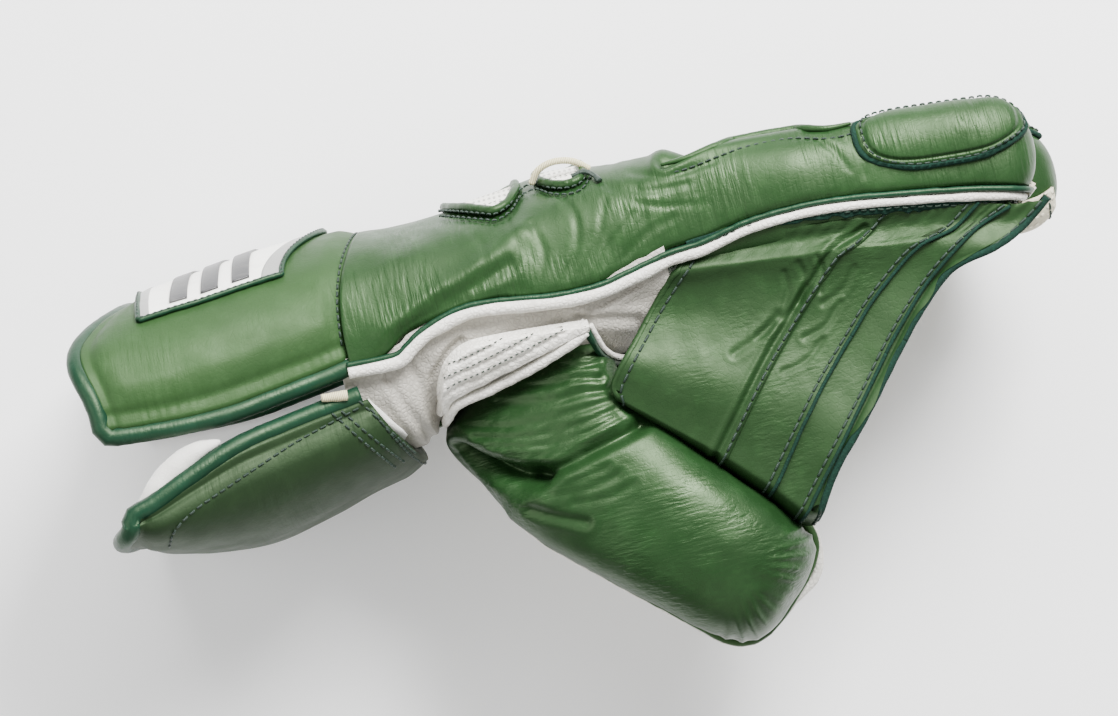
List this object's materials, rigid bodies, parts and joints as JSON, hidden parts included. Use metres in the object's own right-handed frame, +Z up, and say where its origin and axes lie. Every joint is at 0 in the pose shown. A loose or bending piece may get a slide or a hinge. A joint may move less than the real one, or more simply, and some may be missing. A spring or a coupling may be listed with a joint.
{
  "type": "wicket-keeping glove",
  "caption": "Green leather wicket-keeping glove for the left hand, with an open padded gauntlet, finger stalls and a sewn web between thumb and index finger",
  "frame": {"origin": "Middle of the footprint of the glove lying on its little-finger edge, on the surface it lies on", "axes": "+X from the cuff's mouth to the fingertips, +Y to the back of the hand so that the palm faces -Y, +Z up on the thumb side"},
  "size_m": [0.32, 0.1608, 0.1259],
  "materials": {
    "green_leather": "glossy creased leather",
    "dark_green_leather": "dark rolled leather",
    "green_suede": "raw suede edge",
    "white_leather": "pebbled white leather",
    "rubber_facing": "pimpled rubber, matte",
    "mesh_fabric": "open knit mesh",
    "cotton_lining": "brushed cotton",
    "foam": "soft foam padding",
    "cream_elastic": "woven elastic",
    "patch_film": "printed film patch"
  },
  "bodies": {
    "hand": {"back_panel": "green_leather", "back_foam": "foam", "back_lining": "cotton_lining", "rear_vent": "mesh_fabric", "front_vent": "mesh_fabric", "elastic_loop": "cream_elastic", "side_gusset": "white_leather", "quilted_panel": "white_leather", "palm_panel": "green_leather", "palm_facing": "rubber_facing", "ulnar_panel": "green_leather", "hand_welt": "white_leather", "thumb_base_roof": "green_leather", "thumb_base_floor": "rubber_facing", "thumb_base_side": "green_leather"},
    "back_cuff": {"back_cuff_shell": "green_leather", "back_cuff_lining": "cotton_lining", "back_cuff_binding": "dark_green_leather", "cuff_patch": "patch_film"},
    "palm_cuff": {"palm_cuff_shell": "green_leather", "palm_cuff_lining": "cotton_lining", "palm_cuff_binding": "dark_green_leather", "pull_tab": "cream_elastic"},
    "index": {"index_stall": "green_leather", "index_facing": "rubber_facing", "index_cap": "green_leather", "index_welt": "white_leather", "index_suede_edge": "green_suede", "web_inner_index_leaf": "dark_green_leather", "web_middle_index_leaf": "dark_green_leather", "web_outer_index_leaf": "dark_green_leather"},
    "middle": {"middle_stall": "green_leather", "middle_facing": "rubber_facing", "middle_cap": "green_leather"},
    "ring": {"ring_stall": "green_leather", "ring_facing": "rubber_facing", "ring_cap": "green_leather"},
    "little": {"little_stall": "green_leather", "little_facing": "rubber_facing", "little_cap": "green_leather"},
    "thumb": {"thumb_side_wall": "green_leather", "thumb_roof": "green_leather", "thumb_sole": "rubber_facing", "thumb_back_pad": "green_leather", "thumb_sole_welt": "white_leather", "web_inner_thumb_leaf": "dark_green_leather", "web_middle_thumb_leaf": "dark_green_leather", "web_outer_thumb_leaf": "dark_green_leather"}
  },
  "joints": [
    {"name": "back_cuff_open", "type": "hinge", "parent": "hand", "child": "back_cuff", "pos_m": [-0.07405, 0.07436, 0.06], "axis": [0, 0, -1], "range_deg": [0, 20], "stiffness_Nm_per_rad": 0.6},
    {"name": "palm_cuff_open", "type": "hinge", "parent": "hand", "child": "palm_cuff", "pos_m": [-0.07405, -0.00414, 0.06], "axis": [0, 0, 1], "range_deg": [0, 25], "stiffness_Nm_per_rad": 0.6},
    {"name": "index_flex", "type": "hinge", "parent": "hand", "child": "index", "pos_m": [0.02745, 0.03636, 0.06], "axis": [0, 0, -1], "range_deg": [0, 8], "stiffness_Nm_per_rad": 0.5},
    {"name": "middle_flex", "type": "hinge", "parent": "hand", "child": "middle", "pos_m": [0.02745, 0.03636, 0.06], "axis": [0, 0, -1], "range_deg": [0, 40], "stiffness_Nm_per_rad": 0.3},
    {"name": "ring_flex", "type": "hinge", "parent": "hand", "child": "ring", "pos_m": [0.02745, 0.03636, 0.06], "axis": [0, 0, -1], "range_deg": [0, 40], "stiffness_Nm_per_rad": 0.3},
    {"name": "little_flex", "type": "hinge", "parent": "hand", "child": "little", "pos_m": [0.02745, 0.03636, 0.06], "axis": [0, 0, -1], "range_deg": [0, 40], "stiffness_Nm_per_rad": 0.3},
    {"name": "thumb_close", "type": "hinge", "parent": "hand", "child": "thumb", "pos_m": [-0.00405, 0.00836, 0.08], "axis": [0, 0, 1], "range_deg": [0, 12], "stiffness_Nm_per_rad": 0.6}
  ]
}
